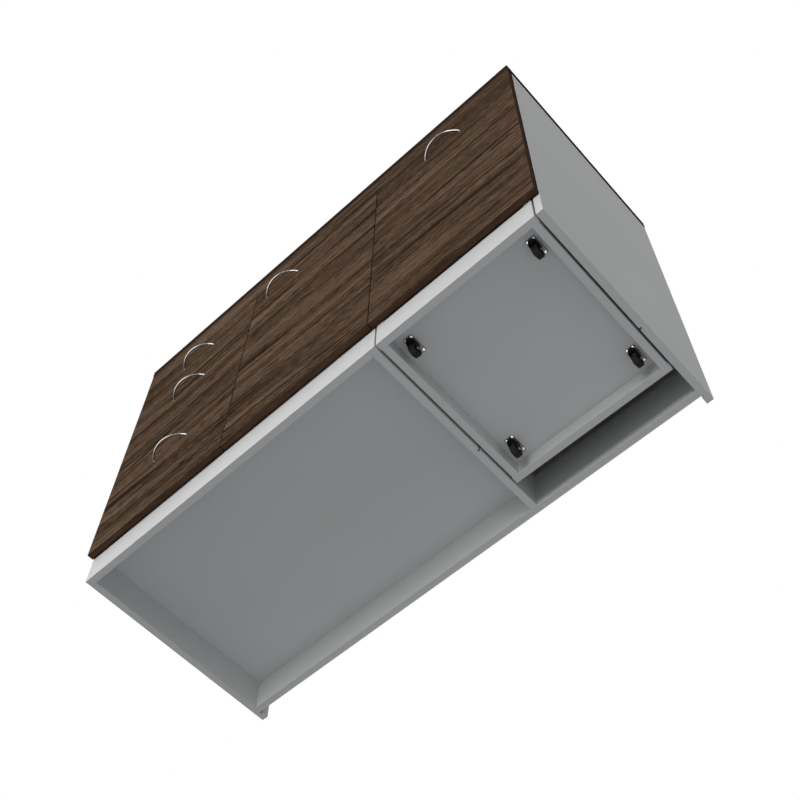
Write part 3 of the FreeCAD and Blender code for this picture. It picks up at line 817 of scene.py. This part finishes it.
# Shelf and its pins
# A loose white board in the door bay, edged as the carcase is. It lies on four turned, zinc-plated
# pins, which are pushed into rows of holes so that the shelf can be set higher or lower.
pin_edge = 0.5 * mm


def eased(node, name, width, finish, steps=2, keep=None):
    """A CAD node with all its sharp edges rolled over; keep says which of its points are wanted."""
    shape = merged(node)
    if keep:
        dropped = [vertex for vertex in shape.verts if not keep(vertex.co)]
        bmesh.ops.delete(shape, geom=dropped, context="VERTS")
    bmesh.ops.bevel(shape, geom=sharp_edges(shape), offset=width, segments=steps, profile=0.5,
                    affect="EDGES", clamp_overlap=True)
    return stand_in(shape, name, node, finish)


edged_boards(white_melamine, "white_laminate", "door_shelf")
eased("shelf_pins", "shelf_pin_pegs", pin_edge, zinc_plate)

# Hinges
# Concealed hinges of nickel-plated steel: a cup let into the door, an arm on a mounting plate
# inside the bay, and the link between them. Plate, arm and cup are screwed with cross-recess screws.
hinge_screw_head = 6.4 * mm
hinge_screw_rise = 1.2 * mm
cup_screw_reach = 24.0 * mm
plate_screw_reach = 16.0 * mm
arm_screw_setback = 12.0 * mm
nickel_grey = (0.45, 0.43, 0.40)
nickel_roughness = 0.22
# Each shape's node, piece, width of its eased edges, and steps round them.
hinge_shapes = (
    ("hinge_cups", "hinge_cups_pressed", 0.35 * mm, 2),
    ("hinge_links", "hinge_links_pressed", 0.4 * mm, 2),
    ("hinge_arms", "hinge_arms_pressed", 0.5 * mm, 2),
    ("hinge_plates", "hinge_plates_cast", 0.8 * mm, 3),
)

nickel_plate = sheet_metal("nickel_plate", nickel_grey, nickel_roughness)
for node, name, edge, steps in hinge_shapes:
    eased(node, name, edge, nickel_plate, steps)
cup_points = []
for low, high in solids("hinge_cups"):
    centre = (low + high) / 2
    for side in (-1, 1):
        cup_points.append(((centre.x, high.y, centre.z + side * cup_screw_reach), (0, 1, 0)))
heads("hinge_cup_screws", "door", nickel_plate, cup_points,
      hinge_screw_head, hinge_screw_rise, seed=51)
plate_points = []
for low, high in solids("hinge_plates"):
    centre = (low + high) / 2
    for side in (-1, 1):
        plate_points.append(((low.x, centre.y, centre.z + side * plate_screw_reach), (-1, 0, 0)))
for low, high in solids("hinge_arms"):
    plate_points.append(((low.x, high.y - arm_screw_setback, (low.z + high.z) / 2), (-1, 0, 0)))
heads("hinge_plate_screws", "carcase", nickel_plate, plate_points,
      hinge_screw_head, hinge_screw_rise, seed=52)

# Cart
# An open-backed box of the same white boards behind its walnut front, on a plinth of its own that
# hides the casters from the front.
edged_boards(white_melamine, "white_laminate", "cart_sides", "cart_bottom", "cart_shelf", "cart_top",
             "cart_plinth_front", "cart_plinth_back")

# Casters
# Small swivel casters under the cart: an oblong zinc-plated plate with a raceway and four bright
# screws, a moulded black hood that turns on the kingpin, a black wheel and a riveted steel axle.
caster_places = ("front_left", "front_right", "back_left", "back_right")
plate_t = 2.0 * mm
plate_corner_r = 4.0 * mm
plate_edge = 0.5 * mm
# Radii and heights of the raceway and kingpin, and radii and half widths of the wheel, in millimetres.
raceway = [
    (0.0, 0.0), (9.4, 0.0), (9.2, -0.9), (8.3, -1.3), (8.0, -1.5), (8.0, -2.7), (7.6, -2.9),
    (3.0, -2.9), (3.0, -7.15), (4.5, -7.15), (4.5, -7.6), (3.4, -8.15), (0.0, -8.15)]
wheel_profile = [
    (2.6, 0.0), (2.6, 7.2), (2.9, 7.5), (5.2, 7.5), (5.5, 7.2), (5.7, 5.6), (10.8, 5.2), (11.2, 5.4),
    (11.8, 7.0), (12.3, 7.3), (15.0, 7.3), (16.2, 6.8), (16.7, 5.8), (16.85, 3.5), (16.55, 3.3),
    (16.55, 2.9), (16.95, 2.7), (17.0, 0.0)]
caster_trail = 6.0 * mm
caster_screw_head = 7.2 * mm
caster_screw_rise = 1.9 * mm
axle_d = 5.0 * mm
axle_margin = 0.02 * mm
rivet_d = 6.6 * mm
rivet_rise = 1.1 * mm
# Shares of the rivet's radius and rise, from its crown to its rim.
rivet_crown = ((0.0, 1.0), (0.6, 0.85), (1.0, 0.3), (1.0, 0.0))
hood_edge = 1.1 * mm
hood_edge_steps = 3
bright_zinc_grey = (0.85, 0.85, 0.86)
plate_zinc_grey = (0.135, 0.135, 0.138)
hood_black = (0.019, 0.018, 0.017)
wheel_black = (0.036, 0.034, 0.032)
turned_steps = 56


def turned(shape, profile, place):
    """A turned shape, from radii and distances along its axis; place puts its points in space."""
    angles = [2 * math.pi * step / turned_steps for step in range(turned_steps)]
    rings = []
    for radius, along in profile:
        if radius == 0.0:
            rings.append([shape.verts.new(place(0.0, 0.0, along))])
            continue
        round_points = [(radius * math.cos(a), radius * math.sin(a)) for a in angles]
        rings.append([shape.verts.new(place(u, v, along)) for u, v in round_points])
    for first, second in zip(rings, rings[1:]):
        for k in range(turned_steps):
            corners = [first[k % len(first)], first[(k + 1) % len(first)],
                       second[(k + 1) % len(second)], second[k % len(second)]]
            shape.faces.new(list(dict.fromkeys(corners)))


def caster_plate(shape, low, high, axis):
    """A plate with round corners and an eased lower edge, and the raceway and kingpin below it."""
    left, right = low.x + plate_corner_r, high.x - plate_corner_r
    front, back = low.y + plate_corner_r, high.y - plate_corner_r
    corners = (((right, back), 0), ((left, back), 90), ((left, front), 180), ((right, front), 270))

    def ring(shrink, z):
        points = []
        for centre, start in corners:
            points += arc_points(centre, plate_corner_r - shrink, start, start + 90, bend_steps)
        return [shape.verts.new((*point, z)) for point in points]

    plate_z = high.z - plate_t
    rings = [ring(0.0, high.z), ring(0.0, plate_z + plate_edge), ring(plate_edge, plate_z)]
    for upper, lower in zip(rings, rings[1:]):
        for k in range(len(upper)):
            after = (k + 1) % len(upper)
            shape.faces.new((upper[k], upper[after], lower[after], lower[k]))
    shape.faces.new(rings[0])
    shape.faces.new(list(reversed(rings[2])))
    profile = [(r * mm, z * mm) for r, z in raceway]
    turned(shape, profile, lambda u, v, w: (axis.x + u, axis.y + v, plate_z + w))


bright_zinc = sheet_metal("bright_zinc", bright_zinc_grey, roughness=0.3)
plate_zinc = sheet_metal("plate_zinc", plate_zinc_grey, roughness=0.42)
moulded_black = board_film("moulded_black", hood_black, roughness=0.42)
tread_black = board_film("tread_black", wheel_black, roughness=0.55)

shape = bmesh.new()
for low, high in solids("caster_plates"):
    axis = (low + high) / 2 - Vector((0.0, caster_trail, 0.0))
    caster_plate(shape, low, high, axis)
stand_in(shape, "caster_plates_pressed", "caster_plates", plate_zinc)

plate_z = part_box("caster_plates")[1].z - plate_t
screw_points = []
for low, high in solids("caster_screws"):
    screw_points.append((((low.x + high.x) / 2, (low.y + high.y) / 2, plate_z), (0, 0, -1)))
caster_screws = heads("caster_screw_heads", "cart", bright_zinc, screw_points,
                      caster_screw_head, caster_screw_rise, seed=61)
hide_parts("caster_screws")

for place in caster_places:
    hood_node = "caster_fork_" + place
    wheel_node = "caster_wheel_" + place
    hub = middle(wheel_node)
    hood_low, hood_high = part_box(hood_node)

    def off_axle(point):
        return math.hypot(point.y - hub.y, point.z - hub.z) > axle_d / 2 + axle_margin

    def across(u, v, w):
        return (hub.x + w, hub.y + u, hub.z + v)

    eased(hood_node, "caster_hood_" + place, hood_edge, moulded_black, hood_edge_steps,
          keep=off_axle)
    shape = bmesh.new()
    half = (hood_high.x - hood_low.x) / 2
    end = [(rivet_d / 2 * r, half + rivet_rise * x) for r, x in rivet_crown] + [(axle_d / 2, half)]
    pin = [(r, -x) for r, x in end] + list(reversed(end))
    turned(shape, pin, across)
    axle = new_piece("caster_axle_" + place, finish_shape(shape, "axle", bright_zinc))
    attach(axle, "fork_" + place)
    shape = bmesh.new()
    half_wheel = [(r * mm, x * mm) for r, x in wheel_profile]
    whole = [(r, -x) for r, x in half_wheel] + list(reversed(half_wheel[:-1]))
    turned(shape, whole, across)
    stand_in(shape, "caster_tread_" + place, wheel_node, tread_black)

# Floor and light
# A pale round floor that shows from above only, so that the cabinet can be seen from underneath too.
# Suns from the front, the back and the top and a weak panel from below stand for the studio, with two
# tall strips at the front that only shiny faces mirror.
floor_radius = 9.0
floor_segments = 96
floor_fade = (2.5, 6.0)
floor_glow = 0.40
floor_colour = (0.75, 0.75, 0.75, 1)
ambient = 0.275
ambient_colour = (0.98, 0.995, 1.0, 1)
# Each sun's direction, strength, spread in degrees and colour, and whether shiny faces mirror it.
suns = (
    ("front_light", (0.15, -1.0, 0.03), 1.75, 35.0, (1.0, 0.99, 0.975), False),
    ("back_light", (-0.55, 0.80, 0.25), 1.3, 45.0, (1.0, 1.0, 1.0), False),
    ("top_light", (-0.14, -0.15, 1.0), 1.2, 50.0, (1.0, 1.0, 1.0), True),
)
# Each strip's place round the cabinet in degrees from the front, its width and its power.
strips = (
    ("right_strip", 39.0, 2.3, 580.0),
    ("left_strip", -39.0, 3.7, 450.0),
)
strip_distance = 4.0
strip_level = 0.6
strip_height = 12.0
under_place = (0.5, 0.3, -2.3)
under_size = (3.0, 2.0)
under_power = 5.4
under_colour = (0.975, 1.0, 1.025)


def any_of(tree, first, *others):
    """The largest of some factors, so 1 where any of them is."""
    for other in others:
        first = math_node(tree, "MAXIMUM", first, other)
    return first


shape = bmesh.new()
bmesh.ops.create_circle(shape, cap_ends=True, segments=floor_segments, radius=floor_radius)
pale_floor, tree, shader = new_finish("pale_floor", Base_Color=floor_colour, Roughness=0.9,
                                      Specular_IOR_Level=0.0)
floor_mesh = bpy.data.meshes.new("floor")
shape.to_mesh(floor_mesh)
shape.free()
floor_mesh.materials.append(pale_floor)
floor = new_piece("floor", floor_mesh)

rays = add_node(tree, "ShaderNodeLightPath").outputs
from_below = add_node(tree, "ShaderNodeNewGeometry").outputs["Backfacing"]
floor_place = add_node(tree, "ShaderNodeTexCoord").outputs["Object"]
distance = add_node(tree, "ShaderNodeVectorMath", {"operation": "LENGTH"}, {0: floor_place})
far_off = span(tree, distance.outputs["Value"], 0.0, 1.0, *floor_fade)
unseen = any_of(tree, from_below, far_off, rays["Is Diffuse Ray"], rays["Is Shadow Ray"],
                rays["Is Glossy Ray"])
glow = add_node(tree, "ShaderNodeEmission", None, {"Strength": floor_glow})
lit = add_node(tree, "ShaderNodeAddShader", None, {0: shader.outputs[0], 1: glow.outputs[0]})
nothing = add_node(tree, "ShaderNodeBsdfTransparent")
mixed = add_node(tree, "ShaderNodeMixShader", None, {
    0: unseen, 1: lit.outputs[0], 2: nothing.outputs[0]})
tree.links.new(mixed.outputs[0], tree.nodes["Material Output"].inputs["Surface"])

world = bpy.data.worlds.new("studio")
bpy.context.scene.world = world
world.use_nodes = True
tree = world.node_tree
soft = tree.nodes["Background"]
soft.inputs["Color"].default_value = ambient_colour
soft.inputs["Strength"].default_value = ambient
white = add_node(tree, "ShaderNodeBackground", None, {"Color": (1, 1, 1, 1), "Strength": 1.0})
rays = add_node(tree, "ShaderNodeLightPath").outputs
seen = any_of(tree, rays["Is Camera Ray"], rays["Is Glossy Ray"], rays["Is Transmission Ray"])
mixed = add_node(tree, "ShaderNodeMixShader", None, {
    0: seen, 1: soft.outputs[0], 2: white.outputs[0]})
tree.links.new(mixed.outputs[0], tree.nodes["World Output"].inputs["Surface"])


def lamp(name, kind, towards, energy):
    """A lamp of that kind that shines from the side that towards points at."""
    data = bpy.data.lights.new(name, kind)
    data.energy = energy
    made = bpy.data.objects.new(name, data)
    made.rotation_euler = Vector(towards).to_track_quat("Z", "Y").to_euler()
    bpy.context.scene.collection.objects.link(made)
    return made


def panel(name, place, towards, energy, size):
    """A lit rectangle at that place, which the camera doesn't show."""
    made = lamp(name, "AREA", towards, energy)
    made.location = place
    made.data.shape = "RECTANGLE"
    made.data.size, made.data.size_y = size
    made.visible_camera = False
    return made


for name, towards, energy, softness, colour, mirrored in suns:
    sun = lamp(name, "SUN", towards, energy)
    sun.data.angle = math.radians(softness)
    sun.data.color = colour
    sun.visible_glossy = mirrored
for name, azimuth, width, energy in strips:
    turn = math.radians(azimuth)
    towards = Vector((math.sin(turn), -math.cos(turn), 0.0))
    place = towards * strip_distance + Vector((0.0, 0.0, strip_level))
    strip = panel(name, place, towards, energy, (width, strip_height))
    strip.visible_diffuse = False
under_light = panel("under_light", under_place, (0.0, 0.0, -1.0), under_power, under_size)
under_light.data.color = under_colour
under_light.visible_glossy = False

# Camera
# It stands to the front right of the cabinet and below the floor and looks up at the underside, as
# the photo does. The lens is shifted so that the cabinet lies in the frame as it does there.
camera_place = (1.1823, -1.17925, -2.5536)
camera_turn = (149.799, 0.010, 41.983)
camera_lens = 58.350
camera_sensor = 36.0
camera_shift = (-0.0221, 0.0265)

camera = bpy.data.objects.new("camera", bpy.data.cameras.new("camera"))
camera.location = camera_place
camera.rotation_euler = [math.radians(angle) for angle in camera_turn]
camera.data.lens = camera_lens
camera.data.sensor_width = camera_sensor
camera.data.shift_x, camera.data.shift_y = camera_shift
bpy.context.scene.collection.objects.link(camera)
bpy.context.scene.camera = camera
bpy.context.scene.view_settings.view_transform = "Standard"
